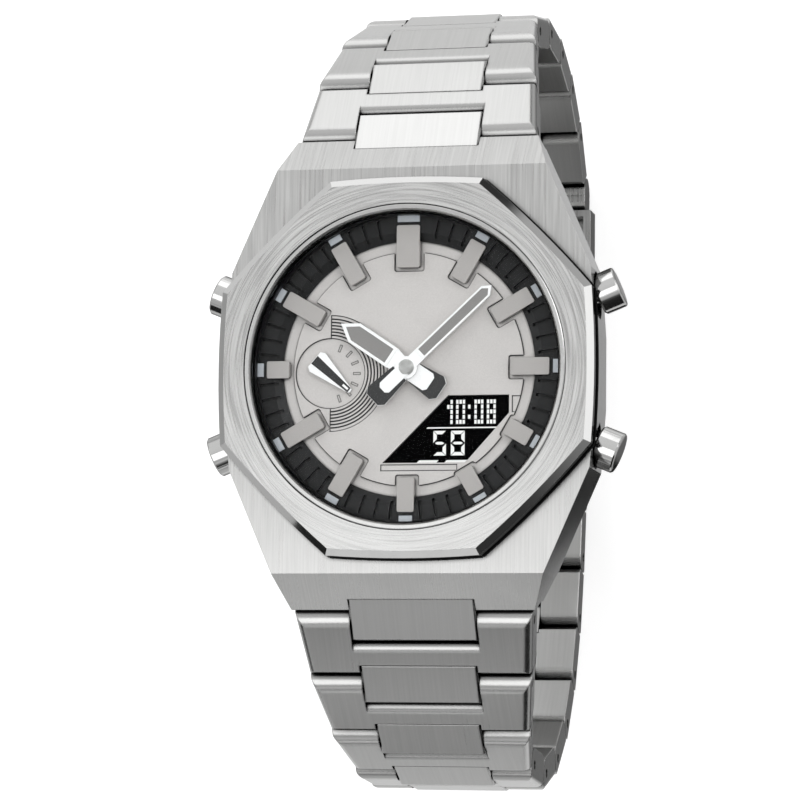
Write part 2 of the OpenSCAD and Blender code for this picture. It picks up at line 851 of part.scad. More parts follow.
// Middle blade of the clasp, folded under the inner blade
module middle_blade() {
  w = blade_w - 6;
  color([0.75, 0.75, 0.75]) difference() {
    union() {
      translate([-w / 2, y_b, z_a - r_a]) cube([w, y_a - y_b, blade_t]);
      translate([0, y_a, z_a]) rod(2 * r_a, w);
      translate([0, y_b, z_b]) rod(2 * r_b, blade_w);
    }
    translate([0, y_a, z_a]) rod(0.9 + 2 * run_gap, blade_w);
    translate([0, y_b, z_b]) rod(0.8 + 2 * run_gap, blade_w + 4);
  }
}

// Outer cover of the clasp, with side walls and an open notch for the twelve side
module clasp_cover() {
  y0 = -end_y6 + bridge_s + 2.5;
  y1 = end_y12;
  wall_h = link_t + 0.3;
  color([0.78, 0.78, 0.78]) difference() {
    union() {
      intersection() {
        translate([-cover_w / 2, y0, 0]) cube([cover_w, y1 - y0, wall_h]);
        union() {
          translate([-cover_w / 2, y0 + 2, -1]) cube([cover_w, y1, wall_h + 2]);
          translate([-cover_w / 2 + 2, y0, -1]) cube([cover_w - 4, y1, wall_h + 2]);
          for (m = [-1, 1]) {
            translate([m * (cover_w / 2 - 2), y0 + 2, -1])
              cylinder(r = 2, h = wall_h + 2, $fn = 64);
          }
        }
      }
      translate([0, y1, link_t / 2]) rod(link_t, band_w3);
      translate([0, y1 - 1, link_t / 2]) rod(link_t, band_w3);
    }
    translate([-cover_w / 2 + 0.9, y0 - 1, cover_t])
      cube([cover_w - 1.8, y1 - 3.3 - y0 + 1, wall_h]);
    translate([-block_w(9) / 2 - 0.15, y1 - link_t / 2 - 0.35, -1])
      cube([block_w(9) + 0.3, 10, wall_h + 2]);
    for (m = [-1, 1]) {
      translate([m * (cover_w / 2 + band_w3 / 2) / 1, y1, 0])
        cube([cover_w, 0.4, 20], center = true);
    }
    translate([0, y_b, z_b]) rod(0.8, cover_w - 0.6);
    for (m = [-1, 1]) {
      translate([m * cover_w / 2, (y0 + y1) / 2, 0]) rotate([0, 45, 0])
        cube([0.7, 90, 0.7], center = true);
    }
  }
  color([0.75, 0.75, 0.75]) translate([0, y_b, z_b]) rod(0.8 - 2 * seat, cover_w - 0.7);
}

case_body();
bezel();
glass_ring();
crystal();
chapter_ring();
minute_chips();
dial_plate();
hour_markers();
lcd_panel();
movement();
case_back();
back_screws();
button_2();
button_4();
button_8();
button_10();
hour_hand();
minute_hand();
day_hand();
hand_cap();
end_blocks();
outer_12_1();
outer_12_2();
outer_12_3();
outer_12_4();
outer_12_5();
outer_12_6();
outer_12_7();
outer_12_8();
centre_12_1();
centre_12_2();
centre_12_3();
centre_12_4();
centre_12_5();
centre_12_6();
centre_12_7();
centre_12_8();
outer_6_1();
outer_6_2();
outer_6_3();
outer_6_4();
outer_6_5();
outer_6_6();
outer_6_7();
outer_6_8();
outer_6_9();
outer_6_10();
centre_6_1();
centre_6_2();
centre_6_3();
centre_6_4();
centre_6_5();
centre_6_6();
centre_6_7();
centre_6_8();
centre_6_9();
centre_6_10();
lower_blade();
middle_blade();
clasp_cover();
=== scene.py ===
"""Looks of a steel sports watch on its closed bracelet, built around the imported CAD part.

Lengths that are named in millimetres are turned into metres with MM.
Dial points are millimetres from the dial centre, x to three o'clock and y to twelve.
"""

import math

import bpy
from mathutils import Matrix, Vector


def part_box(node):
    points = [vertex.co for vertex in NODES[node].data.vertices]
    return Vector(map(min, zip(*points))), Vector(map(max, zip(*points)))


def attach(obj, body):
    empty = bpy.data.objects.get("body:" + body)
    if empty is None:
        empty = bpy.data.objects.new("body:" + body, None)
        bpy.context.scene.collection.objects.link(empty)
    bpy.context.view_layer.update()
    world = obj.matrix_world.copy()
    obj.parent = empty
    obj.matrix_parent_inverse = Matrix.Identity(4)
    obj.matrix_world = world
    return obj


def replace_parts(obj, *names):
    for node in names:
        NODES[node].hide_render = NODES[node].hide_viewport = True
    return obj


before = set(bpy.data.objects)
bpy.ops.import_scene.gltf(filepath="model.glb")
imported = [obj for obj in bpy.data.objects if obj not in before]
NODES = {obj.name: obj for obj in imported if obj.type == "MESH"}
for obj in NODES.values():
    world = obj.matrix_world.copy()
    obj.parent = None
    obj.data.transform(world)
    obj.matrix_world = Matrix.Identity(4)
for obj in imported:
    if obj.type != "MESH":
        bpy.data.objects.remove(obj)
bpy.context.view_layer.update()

MM = 0.001
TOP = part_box("bezel")[1].z
UP, DOWN = (0, 0, 1), (0, 0, -1)

# Camera: direction of view and distance, fitted to the photograph
CAM_YAW = math.radians(12.46)
CAM_PITCH = math.radians(-6.56)
CAM_ROLL = math.radians(0.684)
CAM_DISTANCE = 366.0
CAM_PX_PER_MM = 9.17
CAM_SHIFT_X = -0.318
CAM_SHIFT_Y = -3.754
CAM_CLIP = (0.01, 20.0)
IMAGE_PX = 800
SENSOR = 36.0

# Heights below the bezel top, in millimetres
Z_MINUTE = -1.5
Z_HOUR = -1.9
Z_RING = -2.2
Z_CASE = -2.7
Z_DAY = -2.40
Z_DIAL = -2.70
Z_SUBDIAL = -2.90
Z_LCD = -3.03
DAY_CENTRE = (-8.8, -0.4)

# Time that the photograph shows, and the turns of the hands in degrees
SHOWN_HOUR, SHOWN_MINUTE = 10, 7.8
MINUTE_TURN = -6 * SHOWN_MINUTE
HOUR_TURN = -30 * (SHOWN_HOUR + SHOWN_MINUTE / 60)
DAY_TURN = -131

# Slopes of the case's horns and of the fixed blocks between them, in degrees
HORN_SLOPE = 43
END_SLOPE = 30

# Brush lines: how fast a noise changes across and along straight lines, and out from and around
# the middle of round ones; what the noise does to roughness, colour and height; and the direction
# in which highlights are drawn out, across straight lines or a quarter turn from round ones
LINE_SCALE = (4600.0, 90.0, 90.0)
ROUND_OUT, ROUND_TURN = 4400.0, (2.2, 2.2, 0)
LINE_ROUGH = (-0.04, 0.05)
LINE_SWING = 0.11
LINE_STRENGTH, LINE_HEIGHT = 0.12, 0.01 * MM
TANGENT_ACROSS = (1.0, 0.04, 0.02)
QUARTER_TURN = 0.25

# Steel: noise scales and how far the noises move the roughness; the lightest line colour, what is
# reflected at a slant, and how dark the painted shade in crevices is; then the same for mirror
# steel, with the reach of its painted crevice shade and its edges
CLOUD_SCALE, CLOUD_ROUGH = 160.0, 0.015
RUB_SCALE, RUB_RANGE, RUB_ROUGH = 500.0, (0.35, 0.7), (-0.01, 0.015)
STEEL_LIGHTEST, STEEL_SLANT, STEEL_CREVICE_SHADE = 0.93, 0.75, 0.01
MIRROR_FINE, MIRROR_WIDE = 1400.0, 220.0
MIRROR_ROUGH, MIRROR_CLOUD, MIRROR_SWING = (-0.02, 0.03), 0.02, 0.06
MIRROR_SHADE_REACH, MIRROR_CREVICE_SHADE, MIRROR_EDGE = 0.5, 0.04, 0.06

# Paint: wide noise, how dark the painted shade in crevices is, shares of the fine and the wide
# grain in the colour, and roughness and height of the grain
PAINT_WIDE, PAINT_CREVICE_SHADE = 350.0, 0.25
GRAIN_SHARE, WIDE_SHARE = 0.7, 0.3
PAINT_ROUGH = (-0.04, 0.05)
GRAIN_HEIGHT = 0.006 * MM

# Glass: share reflected straight on, share added at a slant, and how late that sets in; then its
# tint, and the scale and roughness of wipe marks
GLASS_STRAIGHT, GLASS_SLANT, GLASS_POWER = 0.001, 0.3, 5.0
GLASS_TINT = (0.985, 0.99, 0.99, 1)
WIPE_SCALE, WIPE_ROUGH = 120.0, (0.015, 0.04)

# Shares between which a surface counts as facing a direction, a side or the inside of the loop
FLAT_RANGE = (0.955, 0.985)
SIDE_RANGE = (0.72, 0.93)
INNER_RANGE = (0.75, 0.95)

# Usual range of a noise, and open shares between which the painted crevice shade fades out
NOISE_RANGE = (0.3, 0.7)
CREVICE_RANGE = (0.42, 0.94)
CREVICE_SAMPLES, BEVEL_SAMPLES = 6, 4

STEEL = (0.46, 0.46, 0.455, 1)
POLISHED = (0.58, 0.58, 0.575, 1)
WHITE = (1, 1, 1, 1)


# Material helpers


class Nodes:
    """A node tree whose nodes are added one by one."""

    def __init__(self, tree, output):
        self.tree = tree
        self.tree.nodes.clear()
        self.out = self.tree.nodes.new(output)

    def add(self, kind, inputs=None, **settings):
        node = self.tree.nodes.new(kind)
        for key, value in settings.items():
            setattr(node, key, value)
        for key, value in (inputs or {}).items():
            if isinstance(value, bpy.types.NodeSocket):
                self.tree.links.new(value, node.inputs[key])
            else:
                node.inputs[key].default_value = value
        return node

    def finish(self, node):
        """Send a node's first output to the output of the tree."""
        self.tree.links.new(node.outputs[0], self.out.inputs[0])

    def math(self, operation, a, b=0.0):
        return self.add("ShaderNodeMath", {0: a, 1: b}, operation=operation).outputs[0]

    def times(self, first, *others):
        for other in others:
            first = self.math("MULTIPLY", first, other)
        return first

    def vector(self, operation, a, b=(0, 0, 0)):
        node = self.add("ShaderNodeVectorMath", {0: a, 1: b}, operation=operation)
        return node.outputs["Value" if operation in ("DOT_PRODUCT", "LENGTH") else 0]

    def scaled(self, vector, factors):
        return self.vector("MULTIPLY", vector, factors)

    def span(self, value, low, high, to_low=0.0, to_high=1.0, kind="LINEAR"):
        inputs = {"Value": value, "From Min": low, "From Max": high, "To Min": to_low,
                  "To Max": to_high}
        return self.add("ShaderNodeMapRange", inputs, interpolation_type=kind).outputs[0]

    def soft_span(self, value, low, high, to_low=0.0, to_high=1.0):
        return self.span(value, low, high, to_low, to_high, "SMOOTHSTEP")


class Shader(Nodes):
    """The nodes of a new material."""

    def __init__(self, name):
        self.material = bpy.data.materials.new(name)
        self.material.use_nodes = True
        super().__init__(self.material.node_tree, "ShaderNodeOutputMaterial")

    def noise(self, vector, scale=1.0, detail=3.0, roughness=0.6):
        inputs = {"Vector": vector, "Scale": scale, "Detail": detail, "Roughness": roughness}
        return self.add("ShaderNodeTexNoise", inputs).outputs["Fac"]

    def from_noise(self, value, low=0.0, high=1.0):
        """The usual range of a noise, stretched to run from low to high."""
        return self.span(value, *NOISE_RANGE, low, high)

    def tint(self, value, dark, light):
        """Colour that runs from dark to light as value runs from 0 to 1."""
        inputs = {0: value, 6: dark, 7: light}
        return self.add("ShaderNodeMix", inputs, data_type="RGBA").outputs[2]

    def shaded(self, colour, factor):
        inputs = {0: 1.0, 6: colour, 7: factor}
        node = self.add("ShaderNodeMix", inputs, data_type="RGBA", blend_type="MULTIPLY")
        return node.outputs[2]

    def bump(self, height, strength, distance, normal=None):
        inputs = {"Height": height, "Strength": strength, "Distance": distance}
        if normal is not None:
            inputs["Normal"] = normal
        return self.add("ShaderNodeBump", inputs).outputs[0]

    def rounded(self, edge):
        """Normals that are rounded at the edges, with a radius in millimetres."""
        inputs = {"Radius": edge * MM}
        return self.add("ShaderNodeBevel", inputs, samples=BEVEL_SAMPLES).outputs[0]

    def painted_crevice_shade(self, reach, darkest):
        """Painted shade: 1 on open surfaces, falling to darkest in narrow gaps; reach in
        millimetres.
        """
        inputs = {"Distance": reach * MM}
        node = self.add("ShaderNodeAmbientOcclusion", inputs, samples=CREVICE_SAMPLES)
        return self.span(node.outputs["AO"], *CREVICE_RANGE, darkest, 1.0)

    def side_share(self, normal, side):
        """How far a surface faces along X, or for side z level with the dial."""
        split = self.add("ShaderNodeSeparateXYZ", {0: normal})
        if side == "x":
            return self.math("ABSOLUTE", split.outputs["X"])
        return self.math("SUBTRACT", 1.0, self.math("ABSOLUTE", split.outputs["Z"]))

    def facing_share(self, normal, directions):
        """1 where a surface faces one of the directions; 1 everywhere if there are none."""
        if not directions:
            return 1.0
        first, *others = [self.span(self.vector("DOT_PRODUCT", normal, direction), *FLAT_RANGE)
                          for direction in directions]
        for other in others:
            first = self.math("MAXIMUM", first, other)
        return first

    def streaks(self, place, style):
        """Coordinates in which a noise turns into fine brush lines."""
        if style == "round":
            flat = self.scaled(place, (1, 1, 0))
            reach = self.vector("LENGTH", flat)
            around = self.scaled(self.vector("NORMALIZE", flat), ROUND_TURN)
            out = self.add("ShaderNodeCombineXYZ", {2: self.times(reach, ROUND_OUT)})
            return self.vector("ADD", around, out.outputs[0])
        return self.scaled(place, LINE_SCALE)


def grey(level):
    return (level, level, level, 1)


def shades(colour, share, lightest=1.0):
    """The colour made darker and lighter by a share of itself."""
    dark = tuple(c * (1 - share) for c in colour[:3]) + (1,)
    light = tuple(min(c * (1 + share), lightest) for c in colour[:3]) + (1,)
    return dark, light


def steel(name, style="lines", flats=(UP,), rough=0.30, colour=STEEL, edge=0.07, polish=0.10,
          line_depth=1.0, shade_reach=0.7, shine=POLISHED, side=None, side_painted_shade=0.5, side_painted_slant=0.22,
          inner=None, inner_painted_shade=0.35, brushed_share=0.6):
    """Steel that is brushed where it faces one of the flats and smooth elsewhere.

    rough and polish are the roughness of brushed and smooth faces, edge the radius of the edges
    and shade_reach the reach of the painted shade in crevices, both in millimetres. Faces to the
    side, and faces along inner, are darkened by painted shade to side_painted_shade and
    inner_painted_shade; side_painted_slant is what a side reflects at a slant, darkened as painted
    shade.
    """
    s = Shader(name)
    where = s.add("ShaderNodeTexCoord")
    place, normal = where.outputs["Object"], where.outputs["Normal"]
    lines = s.noise(s.streaks(place, style), detail=2.0)
    cloud = s.noise(place, CLOUD_SCALE, 2.0)
    flat = s.facing_share(normal, flats)

    line_rough = [rough + change * line_depth for change in LINE_ROUGH]
    brushed = s.math("ADD", s.from_noise(lines, *line_rough),
                     s.from_noise(cloud, -CLOUD_ROUGH, CLOUD_ROUGH))
    rub_rough = [polish + change for change in RUB_ROUGH]
    rub = s.span(s.noise(place, RUB_SCALE, 2.0), *RUB_RANGE, *rub_rough)
    roughness = s.add("ShaderNodeMix", {0: flat, 2: rub, 3: brushed}).outputs[0]

    line_colour = s.tint(s.from_noise(lines),
                         *shades(colour, LINE_SWING * line_depth, STEEL_LIGHTEST))
    base = s.tint(flat, shine, line_colour)
    # Painted shade: the colour is darkened in crevices
    if shade_reach:
        base = s.shaded(base, s.painted_crevice_shade(shade_reach, STEEL_CREVICE_SHADE))
    # Painted shade: faces along inner are darkened
    if inner:
        inward = s.vector("DOT_PRODUCT", normal, inner)
        base = s.shaded(base, s.span(inward, *INNER_RANGE, 1.0, inner_painted_shade))
    slanted = grey(STEEL_SLANT)
    # Painted shade: sides are darkened, in colour and in what they reflect at a slant
    if side:
        sideways = s.span(s.side_share(normal, side), *SIDE_RANGE)
        base = s.shaded(base, s.span(sideways, 0.0, 1.0, 1.0, side_painted_shade))
        slanted = s.tint(sideways, slanted, grey(side_painted_slant))

    relief = s.bump(lines, s.math("MULTIPLY", flat, LINE_STRENGTH * line_depth), LINE_HEIGHT,
                    s.rounded(edge))
    inputs = {"Base Color": base, "Metallic": 1.0, "Roughness": roughness, "Normal": relief,
              "Anisotropic": brushed_share, "Specular Tint": slanted}
    if style == "round":
        radial = s.add("ShaderNodeTangent", direction_type="RADIAL", axis="Z")
        inputs["Tangent"] = radial.outputs[0]
        inputs["Anisotropic Rotation"] = QUARTER_TURN
    else:
        across = s.add("ShaderNodeCombineXYZ", dict(enumerate(TANGENT_ACROSS)))
        inputs["Tangent"] = across.outputs[0]
    s.finish(s.add("ShaderNodeBsdfPrincipled", inputs))
    return s.material


def polished(name, rough=0.07, colour=POLISHED, side_painted_shade=0.6, slant=0.6):
    """Mirror steel with faint rub marks and painted shade in crevices.

    Upright faces are darkened by painted shade to side_painted_shade.
    """
    s = Shader(name)
    where = s.add("ShaderNodeTexCoord")
    place, normal = where.outputs["Object"], where.outputs["Normal"]
    rub = s.noise(place, MIRROR_FINE, 4.0)
    wide = s.noise(place, MIRROR_WIDE, 2.0)
    rub_rough = [rough + change for change in MIRROR_ROUGH]
    roughness = s.math("ADD", s.from_noise(rub, *rub_rough), s.from_noise(wide, 0.0, MIRROR_CLOUD))
    dark = shades(colour, MIRROR_SWING)[0]
    base = s.tint(s.from_noise(wide), dark, colour)
    # Painted shade: darker in crevices and on upright faces
    base = s.shaded(base, s.painted_crevice_shade(MIRROR_SHADE_REACH, MIRROR_CREVICE_SHADE))
    sideways = s.side_share(normal, "z")
    base = s.shaded(base, s.span(sideways, *SIDE_RANGE, 1.0, side_painted_shade))
    s.finish(s.add("ShaderNodeBsdfPrincipled", {
        "Base Color": base, "Metallic": 1.0, "Roughness": roughness,
        "Normal": s.rounded(MIRROR_EDGE), "Specular Tint": grey(slant)}))
    return s.material


def paint(name, colour, rough=0.45, grain=0.05, scale=9000.0, relief=0.3, specular=0.4, edge=0.0,
          shade_reach=0.0):
    """Painted or moulded surface with a fine even grain.

    Crevices get painted shade when a reach for it is given.
    """
    s = Shader(name)
    place = s.add("ShaderNodeTexCoord").outputs["Object"]
    fine = s.noise(place, scale, 3.0)
    wide = s.noise(place, PAINT_WIDE, 2.0)
    both = s.math("ADD", s.times(fine, GRAIN_SHARE), s.times(wide, WIDE_SHARE))
    base = s.tint(s.from_noise(both), *shades(colour, grain))
    # Painted shade: the colour is darkened in crevices
    if shade_reach:
        base = s.shaded(base, s.painted_crevice_shade(shade_reach, PAINT_CREVICE_SHADE))
    roughness = s.from_noise(wide, *[rough + change for change in PAINT_ROUGH])
    normal = s.bump(fine, relief, GRAIN_HEIGHT, s.rounded(edge) if edge else None)
    s.finish(s.add("ShaderNodeBsdfPrincipled", {
        "Base Color": base, "Roughness": roughness, "Normal": normal,
        "Specular IOR Level": specular}))
    return s.material


def clear_glass(name):
    """Flat glass with a thin coating: clear straight on, a soft reflection at a slant."""
    s = Shader(name)
    place = s.add("ShaderNodeTexCoord").outputs["Object"]
    wipe = s.from_noise(s.noise(place, WIPE_SCALE), *WIPE_ROUGH)
    through = s.add("ShaderNodeBsdfTransparent", {"Color": GLASS_TINT}).outputs[0]
    shine = s.add("ShaderNodeBsdfGlossy", {"Roughness": wipe, "Color": WHITE}).outputs[0]
    facing = s.add("ShaderNodeLayerWeight", {"Blend": 0.5}).outputs["Facing"]
    slant = s.times(s.math("POWER", facing, GLASS_POWER), GLASS_SLANT)
    share = s.math("ADD", GLASS_STRAIGHT, slant)
    s.finish(s.add("ShaderNodeMixShader", {0: share, 1: through, 2: shine}))
    return s.material


# Mesh helpers


def turned(points, degrees):
    c, s = math.cos(math.radians(degrees)), math.sin(math.radians(degrees))
    return [(x * c - y * s, x * s + y * c) for x, y in points]


def moved(points, dx, dy):
    return [(x + dx, y + dy) for x, y in points]


def on_day_dial(points, degrees):
    return moved(turned(points, degrees), *DAY_CENTRE)


def box_outline(x, y, width, height):
    return [(x, y), (x + width, y), (x + width, y + height), (x, y + height)]


def inset(points, amount, sharpest=0.2):
    """Closed outline moved inward by amount, corner by corner; sharpest bounds thin corners."""
    count = len(points)
    after_each = points[1:] + points[:1]
    area = sum(x0 * y1 - x1 * y0 for (x0, y0), (x1, y1) in zip(points, after_each))
    side = 1.0 if area > 0 else -1.0
    result = []
    for i in range(count):
        before, here, after = points[i - 1], points[i], after_each[i]
        a = Vector((here[0] - before[0], here[1] - before[1])).normalized()
        b = Vector((after[0] - here[0], after[1] - here[1])).normalized()
        middle = Vector((-a.y, a.x)) * side + Vector((-b.y, b.x)) * side
        middle = middle / max(middle.length_squared / 2, sharpest)
        result.append((here[0] + middle.x * amount, here[1] + middle.y * amount))
    return result


def layer(z, rise, sunk=0.01):
    """Foot and top of a thin piece that stands on z, with its foot sunk in."""
    return z - sunk, z + rise


def add_object(name, data):
    obj = bpy.data.objects.new(name, data)
    bpy.context.scene.collection.objects.link(obj)
    return obj


def make(name, verts, faces, material, body):
    """Mesh from head points in millimetres, with z = 0 at the bezel top."""
    mesh = bpy.data.meshes.new(name)
    mesh.from_pydata([(x * MM, y * MM, TOP + z * MM) for x, y, z in verts], [], faces)
    mesh.validate()
    mesh.update()
    obj = add_object(name, mesh)
    mesh.materials.append(material)
    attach(obj, body)
    return obj


def plates(name, outlines, low, high, material, body, edge):
    """Thin raised plates with a small chamfer around the top, one per outline."""
    verts, faces = [], []
    for outline in outlines:
        count, start = len(outline), len(verts)
        verts += [(x, y, low) for x, y in outline]
        verts += [(x, y, high - edge) for x, y in outline]
        verts += [(x, y, high) for x, y in inset(outline, edge)]
        for level in (start, start + count):
            faces += [(level + i, level + (i + 1) % count,
                       level + count + (i + 1) % count, level + count + i) for i in range(count)]
        faces.append(tuple(start + 2 * count + i for i in range(count)))
        faces.append(tuple(start + count - 1 - i for i in range(count)))
    return make(name, verts, faces, material, body)


def rims(name, pairs, low, high, material, body, edge):
    """Raised frames between an outer and an inner outline with as many points."""
    verts, faces = [], []
    for outer, inner in pairs:
        count, start = len(outer), len(verts)
        rings = [(outer, low), (outer, high - edge), (inset(outer, edge), high),
                 (inset(inner, -edge), high), (inner, high - edge), (inner, low)]
        for outline, z in rings:
            verts += [(x, y, z) for x, y in outline]
        for k in range(len(rings)):
            a, b = start + k * count, start + ((k + 1) % len(rings)) * count
            faces += [(a + i, a + (i + 1) % count, b + (i + 1) % count, b + i)
                      for i in range(count)]
    return make(name, verts, faces, material, body)


# Materials on the CAD nodes


def put_on(node, material):
    for slot in NODES[node].material_slots:
        slot.material = material


def slopes(degrees):
    """Directions of the slopes towards twelve and six that lean by so much from the dial."""
    lean = math.radians(degrees)
    return (0, math.sin(lean), math.cos(lean)), (0, -math.sin(lean), math.cos(lean))


def outer_flat(obj, centre, sideways=0.1):
    """Normal of the widest flat on the side of a link that faces away from the loop's centre.

    Faces whose normal leans more than sideways along X are left out.
    """
    found = {}
    for polygon in obj.data.polygons:
        n = polygon.normal
        if abs(n.x) > sideways or n.dot(polygon.center - centre) <= 0:
            continue
        key = (round(n.y, 2), round(n.z, 2))
        area, total = found.get(key, (0.0, Vector()))
        found[key] = (area + polygon.area, total + n * polygon.area)
    return max(found.values(), key=lambda item: item[0])[1].normalized()


# Painted shade on most steels below: darker sides and crevices
case_steel = steel("case_steel", flats=(UP, *slopes(HORN_SLOPE)), polish=0.18, line_depth=1.1,
                   shade_reach=0.6, side="z", side_painted_slant=0.5)
bezel_steel = steel("bezel_steel", "round", rough=0.26, polish=0.07, line_depth=1.8, shade_reach=1.2,
                    side="z", side_painted_shade=0.4)
back_steel = steel("back_steel", "round", (UP, DOWN), colour=(0.82, 0.82, 0.81, 1))
mirror_steel = polished("mirror_steel")
button_steel = polished("button_steel", rough=0.09, side_painted_shade=1.0, slant=0.15)
ring_steel = polished("ring_steel", rough=0.2, colour=(0.5, 0.5, 0.495, 1))
cap_steel = steel("cap_steel", "round", (), rough=0.55, colour=(0.58, 0.58, 0.57, 1), edge=0.03,
                  line_depth=0.5, shade_reach=0, brushed_share=0.95)
end_steel = steel("end_steel", flats=slopes(END_SLOPE), colour=(0.52, 0.52, 0.515, 1), edge=0.15,
                  polish=0.24, line_depth=0.3, shade_reach=1.3, shine=STEEL, side="x")
clasp_steel = steel("clasp_steel", flats=(UP, DOWN), rough=0.28, edge=0.1, line_depth=0.8,
                    side="x")
# Painted shade on the lower blade's upward face, inside the loop
blade_steel = steel("blade_steel", flats=(UP, DOWN), rough=0.28, edge=0.1, line_depth=0.8,
                    side="x", inner=UP, inner_painted_shade=0.45)
glass = clear_glass("crystal_glass")

dial_paint = paint("dial_paint", (0.57, 0.546, 0.534), rough=0.5, grain=0.07, scale=5200.0,
                   relief=0.35, specular=0.2, edge=0.05, shade_reach=0.3)
marker_paint = paint("marker_paint", (0.406, 0.386, 0.375), rough=0.42, scale=5200.0,
                     relief=0.25, specular=0.35, edge=0.1, shade_reach=0.5)
ring_black = paint("ring_black", (0.0125, 0.0125, 0.013), rough=0.36, grain=0.12, scale=5000.0,
                   specular=0.2, edge=0.05, shade_reach=0.8)
chip_paint = paint("chip_paint", (0.47, 0.495, 0.53), rough=0.3, grain=0.03, scale=6000.0,
                   relief=0.2, specular=0.5, edge=0.04)
lcd_black = paint("lcd_black", (0.0015, 0.0015, 0.0016), rough=0.3, grain=0.1, scale=3000.0,
                  relief=0.03, specular=0.0)
lcd_white = paint("lcd_white", (0.88, 0.88, 0.87), rough=0.5, grain=0.03, scale=6000.0,
                  relief=0.1, specular=0.2)
module_plastic = paint("module_plastic", (0.08, 0.08, 0.085), rough=0.5)
hand_white = paint("hand_white", (0.92, 0.92, 0.92), rough=0.28, grain=0.02, scale=5000.0,
                   relief=0.1, specular=0.5, edge=0.04)
hand_grey = paint("hand_grey", (0.243, 0.235, 0.23), rough=0.5, grain=0.06, specular=0.3)
hand_dark = paint("hand_dark", (0.022, 0.022, 0.023), rough=0.4, grain=0.08, scale=6000.0,
                  relief=0.2, edge=0.04)
tick_grey = paint("tick_grey", (0.16, 0.155, 0.15), rough=0.5, grain=0.06)
# Painted shade: dark lines in the dial's creases and along the bezel's seam
crease_shadow_dark = paint("crease_shadow_dark", (0.025, 0.025, 0.025), rough=0.5, grain=0.06)
seam_shadow_black = paint("seam_shadow_black", (0.006, 0.006, 0.006), rough=0.5, grain=0.1, specular=0.1)

for node, material in (
        ("case_body", case_steel), ("case_back", back_steel), ("back_screws", mirror_steel),
        ("bezel", bezel_steel), ("glass_ring", ring_steel), ("crystal", glass),
        ("chapter_ring", ring_black), ("minute_chips", chip_paint), ("dial_plate", dial_paint),
        ("hour_markers", marker_paint), ("lcd_panel", lcd_black), ("movement", module_plastic),
        ("button_2", button_steel), ("button_4", button_steel), ("button_8", button_steel),
        ("button_10", button_steel), ("hour_hand", hand_white), ("minute_hand", hand_white),
        ("day_hand", hand_white), ("hand_cap", cap_steel), ("end_blocks", end_steel),
        ("lower_blade", blade_steel), ("middle_blade", clasp_steel),
        ("clasp_cover", clasp_steel)):
    put_on(node, material)

# A point inside the loop, by its shares of the clasp's place along Y and of the whole height; and
# how many six-side links get painted shade on their inner face
LOOP_SHARE_Y, LOOP_SHARE_Z = 0.3, 0.5
PAINTED_SHADE_LINKS = 4

clasp_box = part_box("clasp_cover")
clasp_y = (clasp_box[0].y + clasp_box[1].y) / 2
loop_centre = Vector((0, clasp_y * LOOP_SHARE_Y, TOP * LOOP_SHARE_Z))
for side, count in (("12", 8), ("6", 10)):
    for k in range(1, count + 1):
        facing = outer_flat(NODES[f"centre_{side}_{k}"], loop_centre)
        flats = (tuple(facing), tuple(-facing))
        # Painted shade on the inner faces of the first six-side links
        painted_shade_side = flats[1] if side == "6" and k <= PAINTED_SHADE_LINKS else None
        link_steel = steel(f"link_steel_{side}_{k}", flats=flats, edge=0.25, polish=0.24,
                           line_depth=0.4, shade_reach=2.0, shine=STEEL, side="x", side_painted_slant=0.3,
                           inner=painted_shade_side)
        put_on(f"outer_{side}_{k}", link_steel)
        put_on(f"centre_{side}_{k}", link_steel)


# Hands

# Rise and chamfer of each piece on a hand, and how far the infill reaches under the rim
RIM_RISE, RIM_EDGE = 0.06, 0.02
INFILL_RISE, INFILL_EDGE, INFILL_OVERLAP = 0.02, 0.005, 0.02
TAIL_RISE, TAIL_EDGE = 0.05, 0.03
TONGUE_RISE, TONGUE_EDGE = 0.08, 0.025
DAY_STRIPE = [(-0.56, -2.3), (0.56, -2.3), (0.3, 2.95), (-0.3, 2.95)]
DAY_LIGHT = [(-0.13, 2.0), (0.13, 2.0), (0.12, 2.78), (-0.12, 2.78)]
DAY_STRIPE_RISE, DAY_LIGHT_RISE, DAY_EDGE = 0.03, 0.05, 0.01


def blade(start, shoulder, tip, half):
    """Pointed outline along +Y, by distances from the axis and half its width."""
    return [(-half, start), (half, start), (half, shoulder), (0, tip), (-half, shoulder)]


def tail_outline(half, start, end, widening=0.3, corner=(0.5, 0.6)):
    """Tail that widens towards its end and has cut corners there."""
    waist, corner_x, corner_y = half - widening, half - corner[0], end + corner[1]
    return [(-waist, start), (-half, corner_y), (-corner_x, end), (corner_x, end),
            (half, corner_y), (waist, start)]


def tongue(half, start, end, corner=0.35):
    """Straight strip with cut corners at its end."""
    return [(-half, start), (-half, end + corner), (-half + corner, end), (half - corner, end),
            (half, end + corner), (half, start)]


def dress_hand(name, turn, z, outer, inner, tail, white):
    """Pale rim, grey infill, dark tail and pale tongue on top of a hand."""
    rims(f"{name}_rim", [(turned(outer, turn), turned(inner, turn))], *layer(z, RIM_RISE),
         hand_white, name, RIM_EDGE)
    plates(f"{name}_infill", [turned(inset(inner, -INFILL_OVERLAP), turn)],
           *layer(z, INFILL_RISE), hand_grey, name, INFILL_EDGE)
    plates(f"{name}_tail", [turned(tail, turn)], *layer(z, TAIL_RISE), hand_dark, name, TAIL_EDGE)
    plates(f"{name}_tongue", [turned(white, turn)], *layer(z, TONGUE_RISE, 0), hand_white, name,
           TONGUE_EDGE)


